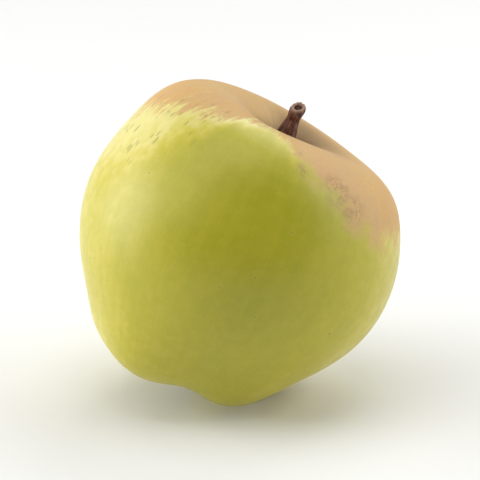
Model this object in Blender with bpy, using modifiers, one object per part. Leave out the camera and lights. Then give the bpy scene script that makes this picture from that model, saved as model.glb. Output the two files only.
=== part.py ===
"""A whole apple that leans on the shoulder of its base.

The fruit is one body with a stem cavity above and a five-lobed basin below. Its base is fuller on
one side. Its crown is tilted, with a shallow channel on the side that faces the camera. A stout
woody stem stands in the cavity, and five dried sepals ring a tuft of dried stamens in the basin.

Metres, +Z up. The origin lies on the small flat spot that the apple rests on. The camera side is -Y.
Inside the file the fruit has a frame of its own: its axis is Z, the stem points up, and Z is zero
at its widest ring. One empty leans that frame over.
"""

import math

import bmesh
import bpy
import numpy as np
from mathutils import Matrix, Vector
from mathutils.geometry import interpolate_bezier

# The fruit, along its own axis
FRUIT_RADIUS = 0.0375
CREST_HEIGHT = 0.0296
CREST_RADIUS = 0.0173
CAVITY_DEPTH = 0.0106
BASE_DROP = 0.0354
BASE_RADIUS = 0.0127
BASIN_DEPTH = 0.0064

# How far the fruit is from a turned body
LOBES = 5
LOBE_SWELL = 0.00066
LOBE_DROP = 0.00064
LOBE_HEADING = math.radians(-121.5)
LOBE_UNEVENNESS = 0.35
LOBE_UNEVENNESS_HEADING = math.radians(-6)
FULL_SIDE_SHARE = 2.7
FULL_SIDE_HEADING = math.radians(-143.5)
FULL_SIDE_SHARPNESS = 4.6
PLEATS = 13
PLEAT_DEPTH = 0.00025
CROWN_TILT = 0.0021
CROWN_TILT_HEADING = math.radians(-164)
CROWN_SADDLE = 0.00024
CROWN_SADDLE_HEADING = math.radians(-81)
CROWN_SHOULDERS = 0.00016
CROWN_SHOULDERS_HEADING = math.radians(-28)
CHANNEL_DEPTH = 0.0017
CHANNEL_HEADING = math.radians(-123)
CHANNEL_SHARPNESS = 4
OVAL_SHARE = 0.009
OVAL_HEADING = math.radians(17)

# The radii from the fruit's axis between which each of these fades in, or out
OVAL_IN = (0.004, 0.020)
SHOULDERS_IN = (0.006, 0.020)
LOBE_SWELL_IN = (0.010, 0.022)
LOBE_DROP_IN = (0.0025, 0.0075)
LOBE_DROP_OUT = (0.018, 0.034)
PLEATS_IN = (0.0022, 0.0045)
PLEATS_OUT = (0.0070, 0.0115)

# The shares of the height above and below the widest ring between which they grow
CROWN_GROWS = (0.2, 1.0)
BASE_GROWS = (0.15, 1.0)

# How it rests
LEAN = math.radians(25.2)
LEAN_HEADING = math.radians(18)
FLAT_SPOT_DEPTH = 0.0015

# The stem, from the floor of its socket
GAP = 0.0003
STEM_LENGTH = 0.0180
STEM_SOCKET_DEPTH = 0.0020
STEM_FOOT_RADIUS = 0.0022
STEM_WAIST_RADIUS = 0.00142
STEM_END_RADIUS = 0.00175
STEM_BEND = 0.0004
STEM_BEND_HEADING = math.radians(-100)
STEM_BEND_SPAN = (0.45, 1.3)
STEM_FLARE_SPAN = (0.46, 0.86)
STEM_KNOB_SPAN = (0.80, 0.93)
STEM_WORN_SPAN = (0.955, 1.0)
STEM_WORN_SHARE = 0.35
STEM_SLANT = math.radians(34)
STEM_SLANT_HEADING = math.radians(-105)
STEM_SLANT_SPAN = (0.6, 0.97)
STEM_STEPS = 22
STEM_RIDGES = 6
STEM_RIDGE_SHARE = 0.07

# The dried flower in the basin
SEPALS = 5
SEPAL_LENGTH_STEPS = 9
SEPAL_WIDTH_STEPS = 4
SEPAL_HALF_WIDTH = 0.00125
SEPAL_TIP_HALF_WIDTH = 0.00018
SEPAL_THICKNESS = 0.00035
SEPAL_CUP = 0.00035
SEPAL_WAVE = 0.00022
SEPAL_RING_RADIUS = 0.0024
SEPAL_REACH = 0.0036
SEPAL_FALL = 0.0044
TUFT_RADIUS = 0.0014
TUFT_SOCKET_DEPTH = 0.0012
TUFT_HEIGHT = 0.0006
STAMENS = 9
STAMEN_RADIUS = 0.00026
STAMEN_LENGTH = 0.0032
STAMEN_ROOT = 0.0005
STAMEN_RING_RADIUS = 0.00087
STAMEN_SPLAY = math.radians(16)
STAMEN_SPLAY_SPREAD = math.radians(7)
STAMEN_LENGTH_SPREAD = 0.14

# How finely the fruit is cut into faces
FRUIT_SEGMENTS = 88
FRUIT_RINGS = 54
SOCKET_RINGS = 2

SKIN_GREEN = (0.42, 0.40, 0.075, 1.0)
STEM_BROWN = (0.16, 0.075, 0.045, 1.0)
SEPAL_BROWN = (0.13, 0.09, 0.06, 1.0)
STAMEN_BROWN = (0.06, 0.035, 0.025, 1.0)


def clear_scene():
    for thing in list(bpy.data.objects):
        bpy.data.objects.remove(thing)


def material(name, colour, roughness):
    made = bpy.data.materials.new(name)
    made.use_nodes = True
    shader = made.node_tree.nodes["Principled BSDF"]
    shader.inputs["Base Color"].default_value = colour
    shader.inputs["Roughness"].default_value = roughness
    return made


def link(name, mesh, collection, surface):
    made = bpy.data.objects.new(name, mesh)
    collection.objects.link(made)
    mesh.materials.append(surface)
    return made


def smooth_step(low, high, value):
    share = min(max((value - low) / (high - low), 0.0), 1.0)
    return share * share * (3 - 2 * share)


def outline_knots():
    """Half of the fruit's cross-section, from the stem socket's rim to the basin socket's rim."""
    floor = CREST_HEIGHT - CAVITY_DEPTH
    basin = BASIN_DEPTH - BASE_DROP
    return [
        (STEM_FOOT_RADIUS * (1 + STEM_RIDGE_SHARE) + GAP, floor),
        (0.33 * CREST_RADIUS, floor + 0.62 * CAVITY_DEPTH),
        (0.68 * CREST_RADIUS, floor + 0.91 * CAVITY_DEPTH),
        (CREST_RADIUS, CREST_HEIGHT),
        (0.758 * FRUIT_RADIUS, 0.86 * CREST_HEIGHT),
        (0.904 * FRUIT_RADIUS, 0.56 * CREST_HEIGHT),
        (FRUIT_RADIUS, 0.0),
        (0.912 * FRUIT_RADIUS, -0.40 * BASE_DROP),
        (0.714 * FRUIT_RADIUS, -0.722 * BASE_DROP),
        (0.495 * FRUIT_RADIUS, -0.96 * BASE_DROP),
        (BASE_RADIUS, -BASE_DROP),
        (0.56 * BASE_RADIUS, basin - 0.58 * BASIN_DEPTH),
        (TUFT_RADIUS + GAP, basin),
    ]


def smooth_curve(knots, samples):
    """Points, evenly spaced, on the curve of least bend through the knots."""
    knots = np.array(knots)
    steps = np.linalg.norm(np.diff(knots, axis=0), axis=1)
    along = np.concatenate([[0.0], np.cumsum(steps)])
    count = len(knots)
    matrix = np.zeros((count, count))
    slopes = np.zeros((count, 2))
    matrix[0, 0] = matrix[-1, -1] = 1.0
    for i in range(1, count - 1):
        matrix[i, i - 1 : i + 2] = steps[i - 1], 2 * (steps[i - 1] + steps[i]), steps[i]
        after = (knots[i + 1] - knots[i]) / steps[i]
        before = (knots[i] - knots[i - 1]) / steps[i - 1]
        slopes[i] = 6 * (after - before)
    bends = np.linalg.solve(matrix, slopes)

    def at(distance):
        i = min(int(np.searchsorted(along, distance, side="right")) - 1, count - 2)
        far, near = (along[i + 1] - distance) / steps[i], (distance - along[i]) / steps[i]
        straight = far * knots[i] + near * knots[i + 1]
        curved = (far**3 - far) * bends[i] + (near**3 - near) * bends[i + 1]
        return straight + curved * steps[i] ** 2 / 6

    fine = np.array([at(d) for d in np.linspace(0, along[-1], 40 * count)])
    travelled = np.concatenate([[0.0], np.cumsum(np.linalg.norm(np.diff(fine, axis=0), axis=1))])
    wanted = np.linspace(0, travelled[-1], samples)
    return np.column_stack([np.interp(wanted, travelled, fine[:, k]) for k in (0, 1)])


def fruit_outline():
    """(radius, height) of every ring of the fruit, pole to pole, with the two small sockets."""
    skin = smooth_curve(outline_knots(), FRUIT_RINGS + 1 - 2 * (SOCKET_RINGS + 1) + 1)
    stem_hole, tuft_hole = skin[0], skin[-1]
    stem_floor = stem_hole[1] - STEM_SOCKET_DEPTH
    tuft_floor = tuft_hole[1] + TUFT_SOCKET_DEPTH
    top = [(0.0, stem_floor), (0.55 * stem_hole[0], stem_floor), (stem_hole[0], stem_floor)]
    bottom = [(tuft_hole[0], tuft_floor), (0.55 * tuft_hole[0], tuft_floor), (0.0, tuft_floor)]
    return [*top, *map(tuple, skin[:-1]), tuple(tuft_hole), *bottom]


def fruit_point(radius, height, heading):
    """The turned outline pushed into a real apple's lobes, shoulders and pleats."""
    low = smooth_step(*BASE_GROWS, -height / BASE_DROP)
    high = smooth_step(*CROWN_GROWS, height / CREST_HEIGHT)
    crown = math.cos(LOBES * (heading - LOBE_HEADING))
    crown *= 1 + LOBE_UNEVENNESS * math.cos(heading - LOBE_UNEVENNESS_HEADING)
    crown += FULL_SIDE_SHARE * math.exp(FULL_SIDE_SHARPNESS * (math.cos(heading - FULL_SIDE_HEADING) - 1))
    lift = CROWN_TILT * math.cos(heading - CROWN_TILT_HEADING)
    lift += CROWN_SADDLE * math.cos(2 * (heading - CROWN_SADDLE_HEADING))
    lift += CROWN_SHOULDERS * math.cos(3 * (heading - CROWN_SHOULDERS_HEADING))
    in_channel = math.exp(CHANNEL_SHARPNESS * (math.cos(heading - CHANNEL_HEADING) - 1))
    lift -= CHANNEL_DEPTH * in_channel
    lobe_band = smooth_step(*LOBE_DROP_IN, radius) * (1 - smooth_step(*LOBE_DROP_OUT, radius))
    pleat_band = smooth_step(*PLEATS_IN, radius) * (1 - smooth_step(*PLEATS_OUT, radius))
    oval = 1 + OVAL_SHARE * math.cos(2 * (heading - OVAL_HEADING)) * smooth_step(*OVAL_IN, radius)
    height += lift * high * smooth_step(*SHOULDERS_IN, radius)
    height -= LOBE_DROP * crown * low * lobe_band
    height -= PLEAT_DEPTH * math.cos(PLEATS * heading) * pleat_band * low
    radius = radius * oval + LOBE_SWELL * crown * low * smooth_step(*LOBE_SWELL_IN, radius)
    return Vector((radius * math.cos(heading), radius * math.sin(heading), height))


def fruit_mesh():
    """A sphere's rings moved onto the fruit's outline, so the skin is one closed sheet."""
    outline = fruit_outline()
    grid = bmesh.new()
    bmesh.ops.create_uvsphere(
        grid, u_segments=FRUIT_SEGMENTS, v_segments=len(outline) - 1, radius=1.0
    )
    for vertex in grid.verts:
        tilt = math.acos(max(-1.0, min(1.0, vertex.co.z)))
        radius, height = outline[round(tilt / math.pi * (len(outline) - 1))]
        vertex.co = fruit_point(radius, height, math.atan2(vertex.co.y, vertex.co.x))
    return grid


def lean_matrix(grid):
    """Leans the fruit over, and sets its lowest point just under the floor at the origin."""
    hinge = Vector((-math.sin(LEAN_HEADING), math.cos(LEAN_HEADING), 0.0))
    turn = Matrix.Rotation(LEAN, 4, hinge)
    lowest = min((turn @ vertex.co for vertex in grid.verts), key=lambda point: point.z)
    rise = Vector((-lowest.x, -lowest.y, -lowest.z - FLAT_SPOT_DEPTH))
    return Matrix.Translation(rise) @ turn


def cut_flat_spot(grid, leaned):
    """Takes off what is under the floor, and closes the cut with one flat face."""
    back = leaned.inverted()
    down = (back.to_3x3() @ Vector((0.0, 0.0, -1.0))).normalized()
    everything = [*grid.verts, *grid.edges, *grid.faces]
    cut = bmesh.ops.bisect_plane(
        grid, geom=everything, dist=1e-7, plane_co=back @ Vector(), plane_no=down, clear_outer=True
    )
    ring = [item for item in cut["geom_cut"] if isinstance(item, bmesh.types.BMEdge)]
    bmesh.ops.edgeloop_fill(grid, edges=ring)
    bmesh.ops.recalc_face_normals(grid, faces=grid.faces)


def make_fruit(collection, pose):
    grid = fruit_mesh()
    pose.matrix_world = lean_matrix(grid)
    cut_flat_spot(grid, pose.matrix_world)
    mesh = bpy.data.meshes.new("fruit")
    grid.to_mesh(mesh)
    grid.free()
    mesh.shade_smooth()
    fruit = link("fruit", mesh, collection, material("apple_skin", SKIN_GREEN, 0.35))
    fruit.parent = pose
    return fruit


def stem_section():
    """The stem's ridged section, a closed curve of unit radius."""
    data = bpy.data.curves.new("stem_section", "CURVE")
    data.dimensions = "2D"
    points = 3 * STEM_RIDGES
    ring = data.splines.new("POLY")
    ring.points.add(points - 1)
    for i, point in enumerate(ring.points):
        heading = -2 * math.pi * i / points
        radius = 1 + STEM_RIDGE_SHARE * math.cos(STEM_RIDGES * heading)
        point.co = (radius * math.cos(heading), radius * math.sin(heading), 0.0, 1.0)
    ring.use_cyclic_u = True
    return data


def stem_radius(share):
    """Flared at the foot, narrow at the waist, and swollen where it broke off the twig."""
    flare = (STEM_FOOT_RADIUS - STEM_WAIST_RADIUS) * (1 - smooth_step(*STEM_FLARE_SPAN, share))
    knob = (STEM_END_RADIUS - STEM_WAIST_RADIUS) * smooth_step(*STEM_KNOB_SPAN, share)
    worn_end = STEM_WORN_SHARE * STEM_END_RADIUS * smooth_step(*STEM_WORN_SPAN, share)
    return STEM_WAIST_RADIUS + flare + knob - worn_end


def slant_end(mesh, foot):
    """Closes the rod's caps, and lowers its end on one side, as a twig breaks off at a slant."""
    grid = bmesh.new()
    grid.from_mesh(mesh)
    bmesh.ops.remove_doubles(grid, verts=grid.verts, dist=1e-6)
    low_side = Vector((math.cos(STEM_SLANT_HEADING), math.sin(STEM_SLANT_HEADING), 0.0))
    for vertex in grid.verts:
        in_slant = smooth_step(*STEM_SLANT_SPAN, (vertex.co.z - foot) / STEM_LENGTH)
        vertex.co.z -= math.tan(STEM_SLANT) * (STEM_END_RADIUS + vertex.co.dot(low_side)) * in_slant
    grid.to_mesh(mesh)
    grid.free()
    mesh.shade_smooth()


def make_stem(collection, guides, pose):
    section = bpy.data.objects.new("stem_section", stem_section())
    guides.objects.link(section)
    section.hide_render = True
    section.display_type = "WIRE"
    data = bpy.data.curves.new("stem", "CURVE")
    data.dimensions = "3D"
    data.bevel_mode = "OBJECT"
    data.bevel_object = section
    data.use_fill_caps = True
    line = data.splines.new("POLY")
    line.points.add(STEM_STEPS)
    foot = CREST_HEIGHT - CAVITY_DEPTH - STEM_SOCKET_DEPTH + GAP
    for i, point in enumerate(line.points):
        share = i / STEM_STEPS
        aside = STEM_BEND * smooth_step(*STEM_BEND_SPAN, share)
        x, y = aside * math.cos(STEM_BEND_HEADING), aside * math.sin(STEM_BEND_HEADING)
        point.co = (x, y, foot + STEM_LENGTH * share, 1.0)
        point.radius = stem_radius(share)
    rod = bpy.data.objects.new("stem_rod", data)
    guides.objects.link(rod)
    bpy.context.view_layer.update()
    mesh = bpy.data.meshes.new_from_object(rod.evaluated_get(bpy.context.evaluated_depsgraph_get()))
    bpy.data.objects.remove(rod)
    mesh.name = "stem"
    slant_end(mesh, foot)
    stem = link("stem", mesh, collection, material("stem_wood", STEM_BROWN, 0.7))
    stem.parent = pose
    return stem


def sepal_line():
    """(radius, height) down the middle of a sepal: up from the ring, out, and back at the tip."""
    floor = BASIN_DEPTH - BASE_DROP - GAP
    foot = Vector((SEPAL_RING_RADIUS, floor - 0.0004))
    rise = Vector((SEPAL_RING_RADIUS + 0.10 * SEPAL_REACH, floor - 0.85 * SEPAL_FALL))
    roll = Vector((SEPAL_RING_RADIUS + 0.55 * SEPAL_REACH, floor - 1.25 * SEPAL_FALL))
    tip = Vector((SEPAL_RING_RADIUS + SEPAL_REACH, floor - 0.86 * SEPAL_FALL))
    return interpolate_bezier(foot, rise, roll, tip, SEPAL_LENGTH_STEPS + 1)


def sepal_mesh(number):
    """A leaf-shaped grid bent along its middle line, cupped, and waved a little at its edges."""
    line = sepal_line()
    grid = bmesh.new()
    bmesh.ops.create_grid(
        grid, x_segments=SEPAL_LENGTH_STEPS, y_segments=SEPAL_WIDTH_STEPS, size=0.5
    )
    for vertex in grid.verts:
        along, across = vertex.co.x + 0.5, 2 * vertex.co.y
        step = round(along * SEPAL_LENGTH_STEPS)
        here, after, before = line[step], line[min(step + 1, len(line) - 1)], line[max(step - 1, 0)]
        forward = (after - before).normalized()
        half_width = SEPAL_HALF_WIDTH * (1 - along) ** 0.75 * (1 + 0.9 * along) + SEPAL_TIP_HALF_WIDTH
        lift = SEPAL_CUP * across**2 * (1 - along)
        lift += SEPAL_WAVE * across * math.sin(7 * along + 1.7 * number)
        radius, height = here.x + lift * forward.y, here.y - lift * forward.x
        vertex.co = (radius, across * half_width, height)
    bmesh.ops.triangulate(grid, faces=grid.faces)
    mesh = bpy.data.meshes.new(f"sepal_{number + 1}")
    grid.to_mesh(mesh)
    grid.free()
    mesh.shade_smooth()
    return mesh


def make_sepals(collection, pose):
    surface = material("dry_sepal", SEPAL_BROWN, 0.85)
    for number in range(SEPALS):
        sepal = link(f"sepal_{number + 1}", sepal_mesh(number), collection, surface)
        sepal.parent = pose
        sepal.rotation_euler.z = LOBE_HEADING + 2 * math.pi * (number + 0.5) / SEPALS
        shell = sepal.modifiers.new("thickness", "SOLIDIFY")
        shell.thickness = SEPAL_THICKNESS
        shell.offset = 0.0


def tuft_piece(pieces, bottom_radius, top_radius, depth, matrix):
    """One tapered round rod of the tuft, hanging from its matrix's origin."""
    rod = bmesh.new()
    bmesh.ops.create_cone(
        rod, cap_ends=True, segments=8, radius1=top_radius, radius2=bottom_radius, depth=depth
    )
    bmesh.ops.transform(
        rod, matrix=matrix @ Matrix.Translation((0.0, 0.0, -depth / 2)), verts=rod.verts
    )
    mesh = bpy.data.meshes.new("tuft_piece")
    rod.to_mesh(mesh)
    rod.free()
    piece = bpy.data.objects.new("tuft_piece", mesh)
    pieces.objects.link(piece)
    return piece


def make_stamens(collection, pose):
    """A short plug in the basin's socket, with the withered stamens joined onto it."""
    floor = BASIN_DEPTH - BASE_DROP + TUFT_SOCKET_DEPTH - GAP
    plug_depth = TUFT_SOCKET_DEPTH - GAP + TUFT_HEIGHT
    pieces = bpy.data.collections.new("stamen_pieces")
    bpy.context.scene.collection.children.link(pieces)
    for number in range(STAMENS):
        heading = 2 * math.pi * number / (STAMENS - 1)
        in_middle = number == STAMENS - 1
        ring = 0.0 if in_middle else STAMEN_RING_RADIUS
        splay = 0.0 if in_middle else STAMEN_SPLAY + STAMEN_SPLAY_SPREAD * math.sin(2.3 * number)
        length = STAMEN_LENGTH * (1 + STAMEN_LENGTH_SPREAD * math.sin(3.1 * number + 0.6))
        foot = Matrix.Translation((0.0, 0.0, floor - plug_depth + STAMEN_ROOT))
        turned = Matrix.Rotation(heading, 4, "Z") @ Matrix.Translation((ring, 0.0, 0.0))
        tilted = Matrix.Rotation(-splay, 4, "Y")
        tuft_piece(pieces, STAMEN_RADIUS, 0.7 * STAMEN_RADIUS, length, foot @ turned @ tilted)
    plug = tuft_piece(
        collection, TUFT_RADIUS, 0.9 * TUFT_RADIUS, plug_depth, Matrix.Translation((0.0, 0.0, floor))
    )
    plug.name = plug.data.name = "stamens"
    join = plug.modifiers.new("join", "BOOLEAN")
    join.operation = "UNION"
    join.operand_type = "COLLECTION"
    join.collection = pieces
    bpy.context.view_layer.update()
    joined = bpy.data.meshes.new_from_object(plug.evaluated_get(bpy.context.evaluated_depsgraph_get()))
    plug.modifiers.clear()
    plug.data = joined
    joined.materials.clear()
    joined.materials.append(material("dry_stamen", STAMEN_BROWN, 0.9))
    for piece in list(pieces.objects):
        bpy.data.objects.remove(piece)
    bpy.data.collections.remove(pieces)
    plug.parent = pose
    return plug


def main():
    clear_scene()
    apple = bpy.data.collections.new("apple")
    guides = bpy.data.collections.new("guides")
    bpy.context.scene.collection.children.link(apple)
    bpy.context.scene.collection.children.link(guides)
    pose = bpy.data.objects.new("apple_pose", None)
    apple.objects.link(pose)
    make_fruit(apple, pose)
    make_stem(apple, guides, pose)
    make_sepals(apple, pose)
    make_stamens(apple, pose)


main()
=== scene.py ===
"""Dresses a leaning apple: its skin, stem, flower end, light and camera.

The frame is the apple's plain solids, in metres, +Z up, with the camera side at -Y. The fruit has a
frame of its own too: its axis is Z, the stem points up, and Z is zero at its widest ring. Every
piece is shaped in that frame, and then leaned over and stood where the solids stand.
"""

import math
import random

import bmesh
import bpy
import numpy as np
from bpy.props import FloatProperty, FloatVectorProperty, IntProperty, PointerProperty
from bpy.types import Operator, Panel, PropertyGroup
from mathutils import Matrix, Vector, noise
from mathutils.geometry import interpolate_bezier


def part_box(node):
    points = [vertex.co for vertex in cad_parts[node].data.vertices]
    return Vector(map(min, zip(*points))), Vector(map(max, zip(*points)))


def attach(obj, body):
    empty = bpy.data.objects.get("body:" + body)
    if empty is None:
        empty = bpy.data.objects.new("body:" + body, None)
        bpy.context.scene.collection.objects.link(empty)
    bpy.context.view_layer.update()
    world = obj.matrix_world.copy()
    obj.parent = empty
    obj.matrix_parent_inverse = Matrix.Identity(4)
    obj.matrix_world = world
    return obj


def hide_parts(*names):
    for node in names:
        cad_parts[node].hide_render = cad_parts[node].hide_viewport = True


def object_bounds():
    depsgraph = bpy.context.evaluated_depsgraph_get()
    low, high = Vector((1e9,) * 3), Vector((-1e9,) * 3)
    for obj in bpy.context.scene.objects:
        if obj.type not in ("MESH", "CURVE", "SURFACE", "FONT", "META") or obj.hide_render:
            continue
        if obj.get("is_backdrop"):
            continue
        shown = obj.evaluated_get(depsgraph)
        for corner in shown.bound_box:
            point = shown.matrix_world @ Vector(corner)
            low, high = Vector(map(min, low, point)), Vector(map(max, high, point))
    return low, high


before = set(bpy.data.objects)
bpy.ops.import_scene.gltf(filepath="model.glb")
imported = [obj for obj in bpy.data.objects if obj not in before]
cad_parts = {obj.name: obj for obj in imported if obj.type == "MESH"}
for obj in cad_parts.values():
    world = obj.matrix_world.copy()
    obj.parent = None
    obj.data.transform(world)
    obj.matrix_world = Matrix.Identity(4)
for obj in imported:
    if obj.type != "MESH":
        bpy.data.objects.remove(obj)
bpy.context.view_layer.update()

bl_info = {
    "name": "Leaning apple",
    "version": (1, 0, 0),
    "blender": (4, 5, 0),
    "location": "View3D > Sidebar > Apple",
    "description": "Dresses a leaning apple with its skin, stem, flower end, light and camera",
    "category": "Object",
}

# The fruit, along its own axis, as its solid has it
FRUIT_RADIUS = 0.0375
CREST_HEIGHT = 0.0296
CREST_RADIUS = 0.0173
CAVITY_DEPTH = 0.0106
BASE_DROP = 0.0354
BASE_RADIUS = 0.0127
BASIN_DEPTH = 0.0064

# How far the fruit is from a turned body
LOBES = 5
LOBE_SWELL = 0.00066
LOBE_DROP = 0.00064
LOBE_HEADING = math.radians(-121.5)
LOBE_UNEVENNESS = 0.35
LOBE_UNEVENNESS_HEADING = math.radians(-6)
FULL_SIDE_SHARE = 2.7
FULL_SIDE_HEADING = math.radians(-143.5)
FULL_SIDE_SHARPNESS = 4.6
PLEATS = 13
PLEAT_DEPTH = 0.00025
CHANNEL_DEPTH = 0.0017
CHANNEL_HEADING = math.radians(-123)
CHANNEL_SHARPNESS = 4
OVAL_SHARE = 0.009
OVAL_HEADING = math.radians(17)

# The crown rises by each of these heights at its heading, once, twice and three times round
CROWN_TILT = (0.0021, math.radians(-164))
CROWN_SADDLE = (0.00024, math.radians(-81))
CROWN_SHOULDERS = (0.00016, math.radians(-28))

# The radii from the fruit's axis between which each of these fades in, or out
OVAL_IN = (0.004, 0.020)
SHOULDERS_IN = (0.006, 0.020)
LOBE_SWELL_IN = (0.010, 0.022)
LOBE_DROP_IN = (0.0025, 0.0075)
LOBE_DROP_OUT = (0.018, 0.034)
PLEATS_IN = (0.0022, 0.0045)
PLEATS_OUT = (0.0070, 0.0115)

# The shares of the height above and below the widest ring between which they grow
CROWN_GROWS = (0.2, 1.0)
BASE_GROWS = (0.15, 1.0)

# How finely the solid fruit's skin is cut, which sets where it stands
SOLID_SEGMENTS = 88
SOLID_RINGS = 50

# How it leans
LEAN = math.radians(25.2)
LEAN_HEADING = math.radians(18)

# How softly the skin meets the floor round the flat spot
FLOOR_SOFTNESS = 0.00015

# The fine relief of the skin, all of it cut inwards
SWELL_SPACING = 0.013
CAVITY_FOLDS = 19
CAVITY_FOLD_DEPTH = 0.00016
CAVITY_FOLDS_OUT = (0.0035, 0.0100)
BASIN_WRINKLES = 34
BASIN_WRINKLE_DEPTH = 0.00010
BASIN_WRINKLES_OUT = (0.0045, 0.0110)

# How ripe the skin is, from green at 0 to yellow at 1, at each heading in degrees; the high values at
# the upper left, near -180 to -150, also paint the sheen of the light there. It is riper by BASE_RIPENESS
# at the base, and wanders a little round the fruit.
RIPENESS_AND_SHEEN = (
    (-178, 0.84), (-152, 0.66), (-120, 0.36), (-90, 0.30), (-60, 0.26), (-42, 0.45),
    (-28, 0.85), (-5, 0.90), (20, 0.80), (60, 0.50), (110, 0.40), (150, 0.50),
)
BASE_RIPENESS = 0.14
RIPENESS_WANDER = 0.15
RIPENESS_WANDER_FINENESS = 1.6

# How far down the skin the russet comes from the stem, in mm, at each heading in degrees
RUSSET_REACH = (
    (-177, 40), (-155, 34), (-134, 29), (-121, 21), (-106, 19), (-95, 22), (-83, 31),
    (-68, 35), (-52, 41), (-34, 43), (-10, 41), (25, 34), (70, 27), (115, 30), (150, 38),
)
RUSSET_FADE = 0.0065

# The russet's outer part, which is more orange on ripe skin, starts this far short of its edge
RUSSET_RIM = (-0.020, -0.006)

# Just past the russet the skin is riper, and this also paints the highlight on the near rim's lip and the
# sheen at the upper left: by how much, and over how many mm, at each heading
RIPE_EDGE_AND_HIGHLIGHT = (
    (-180, 0.50), (-155, 0.75), (-137, 0.75), (-117, 1.20), (-97, 1.00), (-80, 0.30),
    (-55, 0.05), (-30, 0.20), (15, 0.25), (80, 0.30), (140, 0.40),
)
RIPE_AND_HIGHLIGHT_SPREAD = (
    (-180, 25), (-158, 28), (-140, 19), (-120, 10), (-95, 8), (-70, 7),
    (-30, 9), (30, 10), (100, 12), (150, 15),
)

# How far the russet's edge breaks into streaks, from a soft fade at 0, at each heading in degrees
RAGGEDNESS = (
    (-175, 1.0), (-135, 1.0), (-112, 0.55), (-85, 0.05), (-15, 0.0), (15, 0.3), (60, 0.6), (130, 0.9),
)

# Dark dashes start this far short of the russet's edge, and are all there at the second distance.
# They stay whole over this share of the riper band, and thin out over the rest of it.
DASHES_IN = (-0.008, -0.001)
DASHES_WHOLE = 0.3
DASH_STRETCH = (28.0, 28.0, 30.0)

# The radii over which the basin's green, the painted shade deep in the cavity and the painted shade
# on the cavity's sides fade out
BASIN_SHADE = (0.004, 0.013)
CAVITY_SHADE = (0.003, 0.0105)
WALL_SHADE = (0.008, 0.020)

# How dark the painted shade on the cavity's sides is, at each heading in degrees: it stands for the
# cavity's own shade, and is darkest where it paints the stem's shadow
WALL_SHADOW = (
    (-165, 0.20), (-120, 0.25), (-60, 0.55), (-10, 0.95), (40, 1.2), (62, 1.45), (92, 1.45),
    (108, 0.75), (120, 0.32), (150, 0.20),
)

# Small dark marks: heading in degrees, distance down the skin in mm, and radius in mm
MARKS = (
    (-154, 37, 1.5), (-83, 32, 3.0), (-87, 27, 1.6), (-64, 34, 5.6), (-55, 37, 5.2),
    (-178, 50, 0.9), (-169, 46, 0.7), (40, 45, 1.3),
)

# The stem, from the floor of its socket
GAP = 0.0003
STEM_SOCKET_DEPTH = 0.0020
STEM_LENGTH = 0.0180
STEM_FOOT_RADIUS = 0.0022
STEM_WAIST_RADIUS = 0.00142
STEM_END_RADIUS = 0.00175
STEM_BEND = 0.0004
STEM_BEND_HEADING = math.radians(-100)
STEM_BEND_SPAN = (0.45, 1.3)
STEM_FLARE_SPAN = (0.46, 0.86)
STEM_KNOB_SPAN = (0.80, 0.93)
STEM_SLANT = math.radians(34)
STEM_SLANT_HEADING = math.radians(-105)
STEM_SLANT_SPAN = (0.6, 0.97)
STEM_RIDGES = 6
STEM_RIDGE_SHARE = 0.07
STEM_BODY_RINGS = 96
STEM_END_RINGS = 26

# The broken end of the stem: (share of its radius, drop in mm) from the middle of the scar
STEM_SCAR = (
    (0.0, 0.32), (0.15, 0.34), (0.28, 0.62), (0.42, 0.56), (0.55, 0.14),
    (0.68, 0.0), (0.83, 0.12), (0.95, 0.45), (1.0, 0.90),
)

# The dried flower in the basin
SEPALS = 5
SEPAL_HALF_WIDTH = 0.00125
SEPAL_TIP_HALF_WIDTH = 0.00010
SEPAL_THICKNESS = 0.00030
SEPAL_CUP = 0.00042
SEPAL_WAVE = 0.00024
SEPAL_RING_RADIUS = 0.0024
SEPAL_REACH = 0.0036
SEPAL_FALL = 0.0044
TUFT_RADIUS = 0.0014
STAMEN_RING_RADIUS = 0.00087
STAMEN_RADIUS = 0.00016
STAMEN_LENGTH = 0.0034
SEPAL_LENGTH_STEPS = 26
SEPAL_WIDTH_STEPS = 12
HAIR_RINGS = 240
HAIR_REACH = 0.0062
HAIR_LENGTH = 0.0019
HAIR_RADIUS = 0.000035

# The colours that the settings don't hold
# Pale yellow for the flecks and the pale skin; on the ripest skin it also paints the sheen of the light at
# the upper left and a highlight on the near rim's lip
PALE_FLECK_AND_SHEEN = (0.80, 0.74, 0.34, 1.0)
LENTICEL_HALO = (0.62, 0.58, 0.14, 1.0)
BASIN_GREEN = (0.30, 0.36, 0.06, 1.0)
PINK_CORK = (0.66, 0.375, 0.18, 1.0)
GREY_CORK = (0.51, 0.375, 0.235, 1.0)
ORANGE_CORK = (0.62, 0.335, 0.095, 1.0)
CORK_CRACK = (0.20, 0.11, 0.05, 1.0)
# Painted shade: the dark cork deep in the cavity round the stem
SHADED_DEEP_CORK = (0.17, 0.085, 0.040, 1.0)
# Painted shade: the brown on the cavity's sides, with the stem's shadow
SHADOWED_WALL_CORK = (0.25, 0.145, 0.065, 1.0)
DASH = (0.26, 0.21, 0.045, 1.0)
SCAB = (0.20, 0.12, 0.05, 1.0)
DARK_BARK = (0.035, 0.013, 0.009, 1.0)
BARK_FLECK = (0.40, 0.24, 0.16, 1.0)
SCAR_PIT = (0.020, 0.009, 0.007, 1.0)
BURNT_LEAF = (0.012, 0.007, 0.005, 1.0)

# How many cells the cork's fine net has along a metre, and how far its threads wander
CORK_CELLS = 950.0
CORK_WANDER = 0.0012

# The stage
FLOOR_HALF_WIDTH = 4.0
CAMERA_DISTANCE = 0.9
CAMERA_ELEVATION = math.radians(20)

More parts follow.
